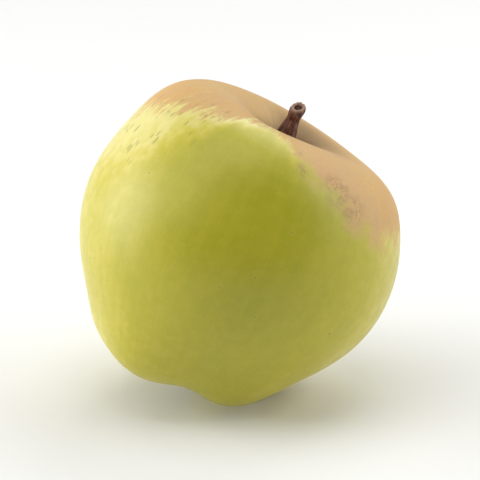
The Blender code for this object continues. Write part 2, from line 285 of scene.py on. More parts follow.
# Each light's heading and elevation in degrees, its distance and its width
LIGHTS = {
    "left": (-95, 13, 0.75, 0.60),
    "left_back": (-142, 11, 0.85, 0.90),
    "upper_left": (-62, 44, 0.75, 0.60),
    "right": (88, 26, 0.75, 0.60),
    "back": (150, 45, 0.75, 0.60),
    "top": (-20, 82, 0.80, 0.60),
}


def count_setting(name, description, default, low, high):
    return IntProperty(name=name, description=description, default=default, min=low, max=high)


def colour_setting(name, description, default):
    return FloatVectorProperty(
        name=name, description=description, subtype="COLOR", size=4,
        default=(*default, 1.0), min=0.0, max=1.0,
    )


def length_setting(name, description, default, low, high):
    return FloatProperty(
        name=name, description=description, default=default, min=low, max=high,
        precision=5, unit="LENGTH",
    )


def power_setting(name, description, default):
    return FloatProperty(
        name=name, description=description, default=default, min=0.0, max=200.0, unit="POWER"
    )


class AppleSkinSettings(PropertyGroup):
    segments: count_setting("Segments", "Faces round the fruit", 330, 88, 400)
    rings: count_setting("Rings", "Faces from the stem to the flower end", 210, 54, 240)
    swell: length_setting(
        "Unevenness", "How deep the soft hollows of the skin are", 0.00016, 0.0, 0.001
    )
    green: colour_setting("Green", "The unripe ground colour", (0.37, 0.36, 0.011))
    yellow: colour_setting("Yellow", "The ripe ground colour", (0.57, 0.49, 0.032))
    russet: colour_setting("Russet", "The corky crown", (0.665, 0.425, 0.165))
    lenticel: colour_setting("Lenticels", "The small breathing spots", (0.14, 0.10, 0.025))
    lenticel_spacing: length_setting(
        "Lenticel spacing", "The distance between lenticels", 0.0042, 0.001, 0.01
    )


class AppleStemSettings(PropertyGroup):
    segments: count_setting("Segments", "Faces round the stem", 84, 18, 160)
    bark: colour_setting("Bark", "The brown of the stem", (0.122, 0.037, 0.022))
    pale_bark: colour_setting("Pale bark", "The worn ridges and the ring of the scar", (0.36, 0.21, 0.14))
    ridge_depth: length_setting(
        "Ridge depth", "How deep the furrows of the bark are", 0.00012, 0.0, 0.0005
    )


class AppleFlowerSettings(PropertyGroup):
    sepal: colour_setting("Sepal", "The dried sepals", (0.075, 0.045, 0.028))
    sepal_pale: colour_setting("Sepal veins", "The bleached veins of the sepals", (0.24, 0.17, 0.105))
    stamen: colour_setting("Stamen", "The withered stamens", (0.035, 0.020, 0.013))
    stamen_pale: colour_setting("Pale stamen", "The lighter streaks of the stamens", (0.13, 0.08, 0.05))
    down: colour_setting("Down", "The hairs in the basin", (0.46, 0.40, 0.29))
    down_pale: colour_setting("Pale down", "The lightest of the hairs", (0.72, 0.66, 0.54))
    hairs: count_setting("Hairs", "How many hairs there are in the basin", 420, 0, 2000)
    stamens: count_setting("Stamens", "How many withered stamens there are", 17, 1, 30)


class AppleStageSettings(PropertyGroup):
    floor: colour_setting("Floor", "The pale floor", (0.86, 0.86, 0.85))
    frame_width: length_setting(
        "Frame width", "How wide the camera's view is at the apple", 0.112, 0.05, 1.0
    )
    left_power: power_setting("Left light", "Power of the large low light at the left", 5.4)
    left_back_power: power_setting(
        "Left back light", "Power of the wide light that pales the upper left", 1.7
    )
    upper_left_power: power_setting("Upper left light", "Power of the light above the left one", 1.6)
    right_power: power_setting("Right light", "Power of the light at the right", 3.4)
    back_power: power_setting("Back light", "Power of the light behind, which catches the crown", 2.3)
    top_power: power_setting("Top light", "Power of the light overhead", 2.3)
    fill: FloatProperty(
        name="Fill", description="Strength of the even light from all round", default=0.06, min=0.0, max=2.0
    )


# Numbers and shapes

def smooth_step(low, high, value):
    share = min(max((value - low) / (high - low), 0.0), 1.0)
    return share * share * (3 - 2 * share)


def fade(near, far, value):
    """1 up to near, and down to 0 at far."""
    return 1 - smooth_step(near, far, value)


def outward(heading):
    return Vector((math.cos(heading), math.sin(heading), 0.0))


def sideways_of(heading):
    return Vector((-math.sin(heading), math.cos(heading), 0.0))


def outline_knots():
    """Half of the fruit's cross-section, from the stem's foot to the tuft in the basin."""
    floor = CREST_HEIGHT - CAVITY_DEPTH
    basin = BASIN_DEPTH - BASE_DROP
    return [
        (STEM_FOOT_RADIUS * (1 + STEM_RIDGE_SHARE) + GAP, floor),
        (0.33 * CREST_RADIUS, floor + 0.62 * CAVITY_DEPTH),
        (0.68 * CREST_RADIUS, floor + 0.91 * CAVITY_DEPTH),
        (CREST_RADIUS, CREST_HEIGHT),
        (0.758 * FRUIT_RADIUS, 0.86 * CREST_HEIGHT),
        (0.904 * FRUIT_RADIUS, 0.56 * CREST_HEIGHT),
        (FRUIT_RADIUS, 0.0),
        (0.912 * FRUIT_RADIUS, -0.40 * BASE_DROP),
        (0.714 * FRUIT_RADIUS, -0.722 * BASE_DROP),
        (0.495 * FRUIT_RADIUS, -0.96 * BASE_DROP),
        (BASE_RADIUS, -BASE_DROP),
        (0.56 * BASE_RADIUS, basin - 0.58 * BASIN_DEPTH),
        (TUFT_RADIUS + GAP, basin),
    ]


def smooth_curve(knots, samples):
    """Points, evenly spaced, on the curve of least bend through the knots."""
    knots = np.array(knots)
    steps = np.linalg.norm(np.diff(knots, axis=0), axis=1)
    along = np.concatenate([[0.0], np.cumsum(steps)])
    count = len(knots)
    matrix = np.zeros((count, count))
    slopes = np.zeros((count, 2))
    matrix[0, 0] = matrix[-1, -1] = 1.0
    for i in range(1, count - 1):
        matrix[i, i - 1 : i + 2] = steps[i - 1], 2 * (steps[i - 1] + steps[i]), steps[i]
        after = (knots[i + 1] - knots[i]) / steps[i]
        before = (knots[i] - knots[i - 1]) / steps[i - 1]
        slopes[i] = 6 * (after - before)
    bends = np.linalg.solve(matrix, slopes)

    def at(distance):
        i = min(int(np.searchsorted(along, distance, side="right")) - 1, count - 2)
        far, near = (along[i + 1] - distance) / steps[i], (distance - along[i]) / steps[i]
        straight = far * knots[i] + near * knots[i + 1]
        curved = (far**3 - far) * bends[i] + (near**3 - near) * bends[i + 1]
        return straight + curved * steps[i] ** 2 / 6

    fine = np.array([at(d) for d in np.linspace(0, along[-1], 40 * count)])
    travelled = np.concatenate([[0.0], np.cumsum(np.linalg.norm(np.diff(fine, axis=0), axis=1))])
    wanted = np.linspace(0, travelled[-1], samples)
    points = np.column_stack([np.interp(wanted, travelled, fine[:, k]) for k in (0, 1)])
    return points.tolist(), float(travelled[-1])


def round_interpolation(pairs, degrees):
    """A value that runs smoothly round the fruit through (heading in degrees, value) pairs."""
    pairs = sorted(pairs)
    before = [(pairs[-1][0] - 360, pairs[-1][1])]
    after = [(pairs[0][0] + 360, pairs[0][1])]
    ring = before + pairs + after
    for (start, low), (end, high) in zip(ring, ring[1:]):
        if start <= degrees <= end:
            return low + (high - low) * smooth_step(start, end, degrees)
    return pairs[0][1]


def fruit_point(radius, height, heading):
    """The turned outline pushed into a real apple's lobes, shoulders and pleats."""
    low = smooth_step(*BASE_GROWS, -height / BASE_DROP)
    high = smooth_step(*CROWN_GROWS, height / CREST_HEIGHT)
    crown = math.cos(LOBES * (heading - LOBE_HEADING))
    crown *= 1 + LOBE_UNEVENNESS * math.cos(heading - LOBE_UNEVENNESS_HEADING)
    crown += FULL_SIDE_SHARE * math.exp(FULL_SIDE_SHARPNESS * (math.cos(heading - FULL_SIDE_HEADING) - 1))
    lift = 0.0
    for times, (rise, toward) in enumerate((CROWN_TILT, CROWN_SADDLE, CROWN_SHOULDERS), start=1):
        lift += rise * math.cos(times * (heading - toward))
    in_channel = math.exp(CHANNEL_SHARPNESS * (math.cos(heading - CHANNEL_HEADING) - 1))
    lift -= CHANNEL_DEPTH * in_channel
    lobe_band = smooth_step(*LOBE_DROP_IN, radius) * fade(*LOBE_DROP_OUT, radius)
    pleat_band = smooth_step(*PLEATS_IN, radius) * fade(*PLEATS_OUT, radius)
    oval = 1 + OVAL_SHARE * math.cos(2 * (heading - OVAL_HEADING)) * smooth_step(*OVAL_IN, radius)
    height += lift * high * smooth_step(*SHOULDERS_IN, radius)
    height -= LOBE_DROP * crown * low * lobe_band
    height -= PLEAT_DEPTH * math.cos(PLEATS * heading) * pleat_band * low
    radius = radius * oval + LOBE_SWELL * crown * low * smooth_step(*LOBE_SWELL_IN, radius)
    return Vector((radius * math.cos(heading), radius * math.sin(heading), height))


def fruit_relief(point, radius, height, heading, swell):
    """How far inwards the skin lies from the smooth form, at one point of it."""
    depth = swell * (0.55 + 0.45 * noise.noise(point / SWELL_SPACING))
    around = outward(heading)
    wander = noise.noise(3 * around)
    if height > 0:
        fold = 0.5 + 0.5 * math.sin(CAVITY_FOLDS * heading + 6 * wander)
        return depth + CAVITY_FOLD_DEPTH * fold * fade(*CAVITY_FOLDS_OUT, radius)
    wrinkle = 0.5 + 0.5 * math.sin(BASIN_WRINKLES * heading + 5 * wander)
    return depth + BASIN_WRINKLE_DEPTH * wrinkle * fade(*BASIN_WRINKLES_OUT, radius)


def mark_cover(point, marks):
    """1 at the middle of a mark on the skin, 0 outside every mark."""
    return max(fade(0.3 * size, size, (point - middle).length) for middle, size in marks)


def apple_pose():
    """Leans the fruit's own frame over, and stands it where the solid fruit stands."""
    hinge = sideways_of(LEAN_HEADING)
    turn = Matrix.Rotation(LEAN, 4, hinge)
    outline = smooth_curve(outline_knots(), SOLID_RINGS)[0]
    headings = [2 * math.pi * i / SOLID_SEGMENTS for i in range(SOLID_SEGMENTS)]
    turned = np.array([turn @ fruit_point(r, z, heading) for r, z in outline for heading in headings])
    low, high = turned.min(axis=0), turned.max(axis=0)
    fruit_low, fruit_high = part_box("fruit")
    aside = [(fruit_low[k] + fruit_high[k] - low[k] - high[k]) / 2 for k in (0, 1)]
    return Matrix.Translation((*aside, fruit_high.z - high[2])) @ turn


def turned_sheet(rings, segments, masks):
    """A closed sheet of rings and its layers. Each vertex comes back with its ring and its heading."""
    grid = bmesh.new()
    bmesh.ops.create_uvsphere(grid, u_segments=segments, v_segments=rings, radius=1.0)
    for name in masks:
        grid.verts.layers.float.new(name)
    grid.verts.layers.float_vector.new("meridian")
    placed = []
    for vertex in grid.verts:
        tilt = math.acos(max(-1.0, min(1.0, vertex.co.z)))
        placed.append((vertex, round(tilt / math.pi * rings), math.atan2(vertex.co.y, vertex.co.x)))
    layers = [grid.verts.layers.float[name] for name in masks]
    return grid, placed, layers, grid.verts.layers.float_vector["meridian"]


def bent_rod(grid, points, radii, sides):
    """Adds a round rod along the points, closed at both ends, to the grid."""
    meridian = grid.verts.layers.float_vector["meridian"]
    rings = []
    for i, point in enumerate(points):
        ahead = points[min(i + 1, len(points) - 1)] - points[max(i - 1, 0)]
        turn = ahead.to_track_quat("Z", "Y")
        ring = []
        for k in range(sides):
            heading = 2 * math.pi * k / sides
            around = outward(heading)
            vertex = grid.verts.new(point + turn @ around * radii[i])
            vertex[meridian] = Vector((around.x, around.y, i / len(points)))
            ring.append(vertex)
        rings.append(ring)
    for lower, upper in zip(rings, rings[1:]):
        for k in range(sides):
            n = (k + 1) % sides
            grid.faces.new((lower[k], lower[n], upper[n], upper[k]))
    grid.faces.new(reversed(rings[0]))
    grid.faces.new(rings[-1])


def place_object(name, data):
    made = bpy.data.objects.new(name, data)
    bpy.context.scene.collection.objects.link(made)
    return made


def mesh_object(grid, name, surface):
    mesh = bpy.data.meshes.new(name)
    grid.to_mesh(mesh)
    grid.free()
    mesh.materials.append(surface)
    return place_object(name, mesh)


def finish_piece(grid, name, surface, slot, *nodes):
    """Leans the grid into place as a mesh object that rides with the apple and stands for the nodes."""
    bmesh.ops.transform(grid, matrix=apple_pose(), verts=grid.verts)
    piece = mesh_object(grid, name, surface)
    piece.data.shade_smooth()
    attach(piece, "root")
    if nodes:
        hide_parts(*nodes)
    return piece


# Shader building

def node(tree, kind, inputs=None, **settings):
    """Adds a shader node, and sets or links its inputs by name or number."""
    made = tree.nodes.new("ShaderNode" + kind)
    made.location = (190 * len(tree.nodes), 0)
    for key, value in settings.items():
        setattr(made, key, value)
    connect(tree, made, inputs or {})
    return made


def connect(tree, made, inputs):
    for key, value in inputs.items():
        if isinstance(value, bpy.types.NodeSocket):
            tree.links.new(value, made.inputs[key])
        else:
            made.inputs[key].default_value = value


def maths(tree, operation, a, b=0.0, clamp=False):
    return node(tree, "Math", {0: a, 1: b}, operation=operation, use_clamp=clamp).outputs[0]


def product(tree, a, b, clamp=False):
    return maths(tree, "MULTIPLY", a, b, clamp)


def total(tree, a, b):
    return maths(tree, "ADD", a, b)


def mix_colours(tree, share, a, b):
    return node(tree, "Mix", {0: share, 6: a, 7: b}, data_type="RGBA").outputs[2]


def ramp(tree, value, low, high, to_low=0.0, to_high=1.0):
    """Value taken smoothly from the low-high range to another range."""
    inputs = {0: value, 1: low, 2: high, 3: to_low, 4: to_high}
    return node(tree, "MapRange", inputs, interpolation_type="SMOOTHSTEP").outputs[0]


def tint(tree, colour, tone, mask, strength):
    """Colour moved towards the tone where the mask is 1, by the strength."""
    return mix_colours(tree, product(tree, mask, strength), colour, tone)


def between(tree, value, start, end):
    """Value from 0 to 1 taken smoothly to the range from start to end."""
    return ramp(tree, value, 0.0, 1.0, start, end)


def stretched(tree, place, stretch):
    return node(tree, "VectorMath", {0: place, 1: stretch}, operation="MULTIPLY").outputs[0]


def bump(tree, height, distance, strength):
    inputs = {"Height": height, "Distance": distance, "Strength": strength}
    return node(tree, "Bump", inputs).outputs[0]


def attribute(tree, name, output="Fac"):
    return node(tree, "Attribute", attribute_name=name).outputs[output]


def use(tree, group_name, output, inputs):
    made = node(tree, "Group", node_tree=bpy.data.node_groups[group_name])
    connect(tree, made, inputs)
    return made.outputs[output]


def new_group(name, inputs, outputs):
    """An empty group with its named sockets, its input node's outputs and its output node."""
    made = bpy.data.node_groups.new(name, "ShaderNodeTree")
    for label, kind, default in inputs:
        socket = made.interface.new_socket(name=label, in_out="INPUT", socket_type="NodeSocket" + kind)
        if default is not None:
            socket.default_value = default
    for label in outputs:
        made.interface.new_socket(name=label, in_out="OUTPUT", socket_type="NodeSocketFloat")
    given = made.nodes.new("NodeGroupInput")
    given.location = (-200, 0)
    result = made.nodes.new("NodeGroupOutput")
    result.location = (1600, 0)
    return made, given.outputs, result


def cloud_group():
    """Soft clouds of one size: Value runs from 0 to 1."""
    sockets = [("Vector", "Vector", None), ("Size", "Float", 0.01), ("Detail", "Float", 2.0)]
    tree, given, result = new_group("Clouds", sockets, ["Value"])
    scale = maths(tree, "DIVIDE", 1.0, given["Size"])
    inputs = {"Vector": given["Vector"], "Scale": scale, "Detail": given["Detail"]}
    clouds = node(tree, "TexNoise", inputs)
    connect(tree, result, {"Value": ramp(tree, clouds.outputs["Fac"], 0.28, 0.72)})


def fibre_group():
    """Streaks that run along a stalk, a leaf or the fruit's meridians: Value runs from 0 to 1."""
    sockets = [("Vector", "Vector", None), ("Across", "Float", 20.0), ("Along", "Float", 3.0)]
    tree, given, result = new_group("Fibres", sockets, ["Value"])
    stretch = node(tree, "CombineXYZ", {0: given["Across"], 1: given["Across"], 2: given["Along"]})
    drawn = stretched(tree, given["Vector"], stretch.outputs[0])
    streaks = node(tree, "TexNoise", {"Vector": drawn, "Scale": 1.0, "Detail": 3.0})
    connect(tree, result, {"Value": ramp(tree, streaks.outputs["Fac"], 0.28, 0.72)})


def freckle_group():
    """Round spots of mixed sizes: Core is the spot, Halo the ring round it."""
    sockets = [
        ("Vector", "Vector", None), ("Spacing", "Float", 0.003),
        ("Radius", "Float", 0.12), ("Share", "Float", 0.6),
    ]
    tree, given, result = new_group("Freckles", sockets, ["Core", "Halo"])
    scale = maths(tree, "DIVIDE", 1.0, given["Spacing"])
    cells = node(tree, "TexVoronoi", {"Vector": given["Vector"], "Scale": scale})
    chance = node(tree, "SeparateColor", {0: cells.outputs["Color"]})
    kept = maths(tree, "LESS_THAN", chance.outputs[0], given["Share"])
    varied = total(tree, product(tree, chance.outputs[1], 0.9), 0.45)
    radius = product(tree, given["Radius"], varied)
    reach = maths(tree, "DIVIDE", cells.outputs["Distance"], radius)
    core = product(tree, ramp(tree, reach, 0.65, 1.1, 1.0, 0.0), kept)
    halo = product(tree, ramp(tree, reach, 0.9, 2.6, 1.0, 0.0), kept)
    connect(tree, result, {"Core": core, "Halo": halo})


def grain_group():
    """The finest unevenness of a grown surface, as a height from 0 to 1."""
    sockets = [("Vector", "Vector", None), ("Size", "Float", 0.0004), ("Roughness", "Float", 0.6)]
    tree, given, result = new_group("Grain", sockets, ["Height"])
    scale = maths(tree, "DIVIDE", 1.0, given["Size"])
    inputs = {"Vector": given["Vector"], "Scale": scale, "Detail": 4.0, "Roughness": given["Roughness"]}
    connect(tree, result, {"Height": node(tree, "TexNoise", inputs).outputs["Fac"]})


def add_clouds(tree, place, size, detail):
    return use(tree, "Clouds", "Value", {"Vector": place, "Size": size, "Detail": detail})


def add_fibres(tree, meridian, across, along):
    return use(tree, "Fibres", "Value", {"Vector": meridian, "Across": across, "Along": along})


def add_freckles(tree, place, spacing, radius, share, output="Core"):
    inputs = {"Vector": place, "Spacing": spacing, "Radius": radius, "Share": share}
    return use(tree, "Freckles", output, inputs)


def add_grain(tree, place, size, roughness):
    return use(tree, "Grain", "Height", {"Vector": place, "Size": size, "Roughness": roughness})


def make_groups():
    """Builds each shared effect once."""
    makers = {"Clouds": cloud_group, "Fibres": fibre_group, "Freckles": freckle_group, "Grain": grain_group}
    for name, maker in makers.items():
        if name not in bpy.data.node_groups:
            maker()


def new_material(name):
    """A material with its tree, its shader and the coordinates of its surface, in metres."""
    make_groups()
    made = bpy.data.materials.new(name)
    made.use_nodes = True
    tree = made.node_tree
    place = node(tree, "TexCoord").outputs["Object"]
    return made, tree, tree.nodes["Principled BSDF"], place


def skin_ground(tree, look, place, meridian):
    """Green to yellow, with clouds, faint streaks from end to end, pale mottling and pale flecks. The
    ripest
    skin is paled towards white: partly its own pale colour, partly a painted sheen at the upper left and a
    painted highlight on the near rim's lip.
    """
    broad = add_clouds(tree, place, size=0.016, detail=2.0)
    mottle = add_clouds(tree, place, size=0.0026, detail=3.0)
    streaks = add_fibres(tree, meridian, across=17.0, along=4.0)
    fine_streaks = add_fibres(tree, meridian, across=60.0, along=16.0)
    ripe = attribute(tree, "ripeness")
    for value, reach in ((broad, 0.07), (mottle, 0.06), (streaks, 0.035), (fine_streaks, 0.03)):
        ripe = total(tree, ripe, between(tree, value, -reach, reach))
    colour = mix_colours(tree, maths(tree, "MAXIMUM", ripe, 0.0), look.green, look.yellow)
    pale = product(tree, mottle, ramp(tree, ripe, 0.45, 1.00, 0.01, 0.12))
    # Painted sheen and highlight: the ripest skin is paled towards white, partly its own colour and partly
    # the sheen of the light at the upper left and on the near rim's lip
    pale = total(tree, pale, ramp(tree, ripe, 0.80, 1.40, 0.0, 0.55))
    colour = mix_colours(tree, pale, colour, PALE_FLECK_AND_SHEEN)
    flecks = add_freckles(tree, place, spacing=0.0013, radius=0.26, share=0.5)
    return tint(tree, colour, PALE_FLECK_AND_SHEEN, flecks, 0.05)


def russet_share(tree, place, meridian, threads):
    """How much russet covers the skin: solid near the stem, then it fades or breaks into streaks."""
    cover = attribute(tree, "russet_cover")
    ragged = attribute(tree, "ragged")
    zone = ramp(tree, cover, 0.0, 0.35)
    broken = add_fibres(tree, meridian, across=34.0, along=9.0)
    patches = add_clouds(tree, place, size=0.0060, detail=2.0)
    specks = add_clouds(tree, place, size=0.0008, detail=2.0)
    spread = between(tree, ragged, 0.04, 0.60)
    wander = product(tree, maths(tree, "SUBTRACT", broken, 0.5), spread)
    wander = total(tree, wander, between(tree, patches, -0.14, 0.14))
    wander = total(tree, wander, between(tree, specks, -0.07, 0.07))
    edge = total(tree, cover, product(tree, wander, zone))
    net = product(tree, product(tree, threads, ramp(tree, edge, 0.12, 0.50)), 0.25)
    return maths(tree, "MAXIMUM", ramp(tree, edge, 0.18, 0.80), net)


def dashes(tree, meridian):
    """Short dark dashes that point at the stem, among the russet's broken edge."""
    drawn = stretched(tree, meridian, DASH_STRETCH)
    spots = add_freckles(tree, drawn, spacing=1.0, radius=0.27, share=0.60)
    return product(tree, spots, attribute(tree, "dashed"))


def cork_colour(tree, look, place, meridian, threads, hollow_shade):
    """Tan cork, pinker, greyer and more orange in places and streaked towards the stem, with painted shade
    deep round the stem and painted shade and the stem's shadow on the cavity's sides.
    """
    tone = add_clouds(tree, place, size=0.0090, detail=3.0)
    fine_tone = add_clouds(tree, place, size=0.0012, detail=3.0)
    rays = add_fibres(tree, meridian, across=14.0, along=4.0)
    wall_shadow = attribute(tree, "cavity_wall")
    cork = tint(tree, look.russet, PINK_CORK, tone, 0.75)
    warm = ramp(tree, attribute(tree, "ripeness"), 0.60, 1.10, 0.0, 0.60)
    warm = product(tree, warm, attribute(tree, "russet_rim"))
    cork = mix_colours(tree, warm, cork, ORANGE_CORK)
    rays = product(tree, rays, between(tree, wall_shadow, 0.25, 0.60))
    cork = mix_colours(tree, rays, cork, GREY_CORK)
    cork = tint(tree, cork, GREY_CORK, fine_tone, 0.22)
    cork = tint(tree, cork, CORK_CRACK, threads, 0.08)
    # Painted shade on the cavity's sides, darkest where the stem's shadow falls
    cork = mix_colours(tree, product(tree, wall_shadow, 0.75, clamp=True), cork, SHADOWED_WALL_CORK)
    # Painted shade deep in the cavity round the stem's foot
    return tint(tree, cork, SHADED_DEEP_CORK, hollow_shade, 0.85)


def skin_material(look):
    """Waxy skin with its lenticels, and the dry russet that breaks up into streaks and a net."""
    made, tree, shader, place = new_material("waxy_skin")
    meridian = attribute(tree, "meridian", "Vector")
    basin = attribute(tree, "flower_end")
    colour = skin_ground(tree, look, place, meridian)

    spots = {"spacing": look.lenticel_spacing, "radius": 0.07, "share": 0.5}
    colour = tint(tree, colour, LENTICEL_HALO, add_freckles(tree, place, **spots, output="Halo"), 0.12)
    core = product(tree, add_freckles(tree, place, **spots), 0.50)
    colour = mix_colours(tree, core, colour, look.lenticel)
    colour = tint(tree, colour, BASIN_GREEN, basin, 0.55)

    wobble = add_clouds(tree, place, size=0.0012, detail=3.0)
    bent = node(tree, "VectorMath", {0: place, 1: product(tree, wobble, CORK_WANDER)}, operation="ADD")
    inputs = {"Vector": bent.outputs[0], "Scale": CORK_CELLS}
    cells = node(tree, "TexVoronoi", inputs, feature="DISTANCE_TO_EDGE")
    threads = ramp(tree, cells.outputs["Distance"], 0.02, 0.20, 1.0, 0.0)
    russet = russet_share(tree, place, meridian, threads)
    cork = cork_colour(tree, look, place, meridian, threads, attribute(tree, "stem_end"))
    colour = tint(tree, colour, cork, russet, 0.94)
    colour = tint(tree, colour, DASH, dashes(tree, meridian), 0.60)

    scab = add_freckles(tree, place, spacing=0.0009, radius=0.40, share=0.6)
    smudge = add_clouds(tree, place, size=0.0022, detail=3.0)
    smudge = ramp(tree, smudge, 0.3, 0.9, 0.04, 0.36)
    stain = maths(tree, "MAXIMUM", product(tree, scab, 0.40), smudge)
    colour = mix_colours(tree, product(tree, stain, attribute(tree, "mark")), colour, SCAB)

    grain = add_grain(tree, place, size=0.0009, roughness=0.6)
    rough = between(tree, russet, 0.38, 0.60)
    rough = total(tree, rough, ramp(tree, grain, 0.3, 0.7, -0.04, 0.06))
    cracked = product(tree, product(tree, threads, russet), -0.35)
    relief = product(tree, grain, between(tree, russet, 0.35, 1.5))
    height = total(tree, total(tree, cracked, relief), product(tree, core, 0.6))
    connect(tree, shader, {
        "Base Color": colour, "Roughness": rough, "Normal": bump(tree, height, 0.00007, 0.8),
        "Coat Weight": between(tree, russet, 0.32, 0.02), "Coat Roughness": 0.40,
        "IOR": 1.45, "Specular IOR Level": 0.40,
        "Subsurface Weight": 0.10, "Subsurface Scale": 0.0035, "Subsurface Radius": (1.0, 0.75, 0.20),
    })
    return made


def bark_material(look):
    """Ridged brown bark with worn ridges, pale flecks and a broken end."""
    made, tree, shader, place = new_material("stem_bark")
    meridian = attribute(tree, "meridian", "Vector")
    fibres = add_fibres(tree, meridian, across=4.5, along=5.0)
    worn = attribute(tree, "ridge")
    clouds = add_clouds(tree, place, size=0.0016, detail=4.0)
    share = product(tree, product(tree, fibres, worn), 0.55)
    colour = mix_colours(tree, share, look.bark, look.pale_bark)
    colour = mix_colours(tree, ramp(tree, clouds, 0.35, 1.0, 0.0, 0.7), colour, DARK_BARK)
    flecks = add_freckles(tree, place, spacing=0.0006, radius=0.30, share=0.55)
    colour = tint(tree, colour, BARK_FLECK, flecks, 0.18)
    colour = mix_colours(tree, attribute(tree, "scar_ring"), colour, look.pale_bark)
    colour = mix_colours(tree, attribute(tree, "scar_pit"), colour, SCAR_PIT)
    grain = add_grain(tree, place, size=0.00025, roughness=0.7)
    height = total(tree, grain, product(tree, fibres, 0.8))
    connect(tree, shader, {
        "Base Color": colour, "Roughness": between(tree, clouds, 0.50, 0.72),
        "Normal": bump(tree, height, 0.00008, 0.9), "Specular IOR Level": 0.3,
    })
    return made


def dry_leaf_material(name, base, pale):
    """Brittle brown tissue with veins along it and bleached patches."""
    made, tree, shader, place = new_material(name)
    meridian = attribute(tree, "meridian", "Vector")
    veins = add_fibres(tree, meridian, across=7.0, along=2.5)
    patches = add_clouds(tree, place, size=0.0013, detail=4.0)
    colour = tint(tree, base, pale, veins, 0.42)
    colour = mix_colours(tree, ramp(tree, patches, 0.45, 0.95, 0.0, 0.75), colour, BURNT_LEAF)
    grain = add_grain(tree, place, size=0.00022, roughness=0.7)
    connect(tree, shader, {
        "Base Color": colour, "Roughness": between(tree, patches, 0.62, 0.85),
        "Normal": bump(tree, total(tree, grain, veins), 0.00006, 0.9),
    })
    return made


# Pieces

def build_skin(look):
    """The fruit's fine skin, with the places of its russet, how ripe it is with its painted sheen, its
    painted shade and its marks stored on it.
    """
    skin, length = smooth_curve(outline_knots(), look.rings + 1)
    rim, ring_floor = skin[0], skin[-1]
    inner_top = [(0.0, rim[1] - 0.0012), (0.72 * STEM_FOOT_RADIUS, rim[1] - 0.0010)]
    inner_top.append((0.92 * STEM_FOOT_RADIUS, rim[1] - 0.0004))
    inner_base = [(0.85 * TUFT_RADIUS, ring_floor[1] + 0.0003), (0.0, ring_floor[1] + 0.0005)]
    outline = [*inner_top, *skin, *inner_base]
    first = len(inner_top)
    marks = []
    for degrees, down, size in MARKS:
        ring = round(down / 1000 / length * look.rings)
        marks.append((fruit_point(*skin[ring], math.radians(degrees)), size / 1000))
    masks = (
        "russet_cover", "russet_rim", "ragged", "dashed", "ripeness",
        "flower_end", "stem_end", "cavity_wall", "mark",
    )
    grid, placed, layers, meridian = turned_sheet(len(outline) - 1, look.segments, masks)
    depths = []
    for vertex, ring, heading in placed:
        radius, height = outline[ring]
        vertex.co = fruit_point(radius, height, heading)
        down = min(max(ring - first, 0), look.rings) / look.rings * length
        around = outward(heading)
        depths.append(fruit_relief(vertex.co, radius, height, heading, look.swell))
        degrees = math.degrees(heading)
        past_russet = down - round_interpolation(RUSSET_REACH, degrees) / 1000
        spread = round_interpolation(RIPE_AND_HIGHLIGHT_SPREAD, degrees) / 1000
        ragged = round_interpolation(RAGGEDNESS, degrees)
        wall_shadow_share = round_interpolation(WALL_SHADOW, degrees)
        # At the upper left these values also paint the sheen of the light
        ripeness = round_interpolation(RIPENESS_AND_SHEEN, degrees)
        ripeness += BASE_RIPENESS * smooth_step(0.0, 1.0, -height / BASE_DROP)
        ripeness += RIPENESS_WANDER * noise.noise(RIPENESS_WANDER_FINENESS * around)
        # The riper band past the russet, with the painted highlight on the near rim's lip
        ripeness += round_interpolation(RIPE_EDGE_AND_HIGHLIGHT, degrees) * fade(0.0, spread, past_russet)
        dashed = ragged * smooth_step(*DASHES_IN, past_russet)
        dashed *= fade(DASHES_WHOLE * spread, spread, past_russet)
        values = (
            min(max(0.5 - past_russet / (2 * RUSSET_FADE), 0.0), 1.0),
            smooth_step(*RUSSET_RIM, past_russet),
            ragged,
            dashed,
            ripeness,
            0.0 if height > 0 else fade(*BASIN_SHADE, radius),
            # Painted shade deep in the cavity round the stem
            0.0 if height < 0 else fade(*CAVITY_SHADE, radius),
            # Painted shade on the cavity's sides, darkest where the stem's shadow is painted
            0.0 if height < 0 else wall_shadow_share * fade(*WALL_SHADE, radius),
            mark_cover(vertex.co, marks),
        )
        for layer, value in zip(layers, values):
            vertex[layer] = value
        vertex[meridian] = Vector((around.x, around.y, down / length))
    grid.normal_update()
    for (vertex, ring, heading), depth in zip(placed, depths):
        vertex.co -= vertex.normal * depth
    piece = finish_piece(grid, "apple_skin", skin_material(look), "apple_skin", "fruit")
    for vertex in piece.data.vertices:
        z = vertex.co.z
        vertex.co.z = 0.5 * (z + math.sqrt(z * z + 4 * FLOOR_SOFTNESS**2))
    return piece


def stem_radius(share):
    """Flared at the foot, narrow at the waist, and swollen where it broke off the twig."""
    flare = (STEM_FOOT_RADIUS - STEM_WAIST_RADIUS) * fade(*STEM_FLARE_SPAN, share)
    knob = (STEM_END_RADIUS - STEM_WAIST_RADIUS) * smooth_step(*STEM_KNOB_SPAN, share)
    return STEM_WAIST_RADIUS + flare + knob


def stem_outline():
    """(radius, height above the socket floor) from the middle of the scar down to the foot."""
    scar = [(share * STEM_END_RADIUS, STEM_LENGTH - drop / 1000) for share, drop in STEM_SCAR]
    end = smooth_curve(scar, STEM_END_RINGS)[0]
    top = end[-1][1]
    heights = [top * (1 - i / STEM_BODY_RINGS) for i in range(1, STEM_BODY_RINGS + 1)]
    body = [(stem_radius(z / STEM_LENGTH), z) for z in heights]
    return [*map(tuple, end), *body, (0.6 * STEM_FOOT_RADIUS, 0.0), (0.0, 0.0)]


def bark_noise(around, share, fineness, along):
    return noise.noise(Vector((fineness * around.x, fineness * around.y, along * share)))


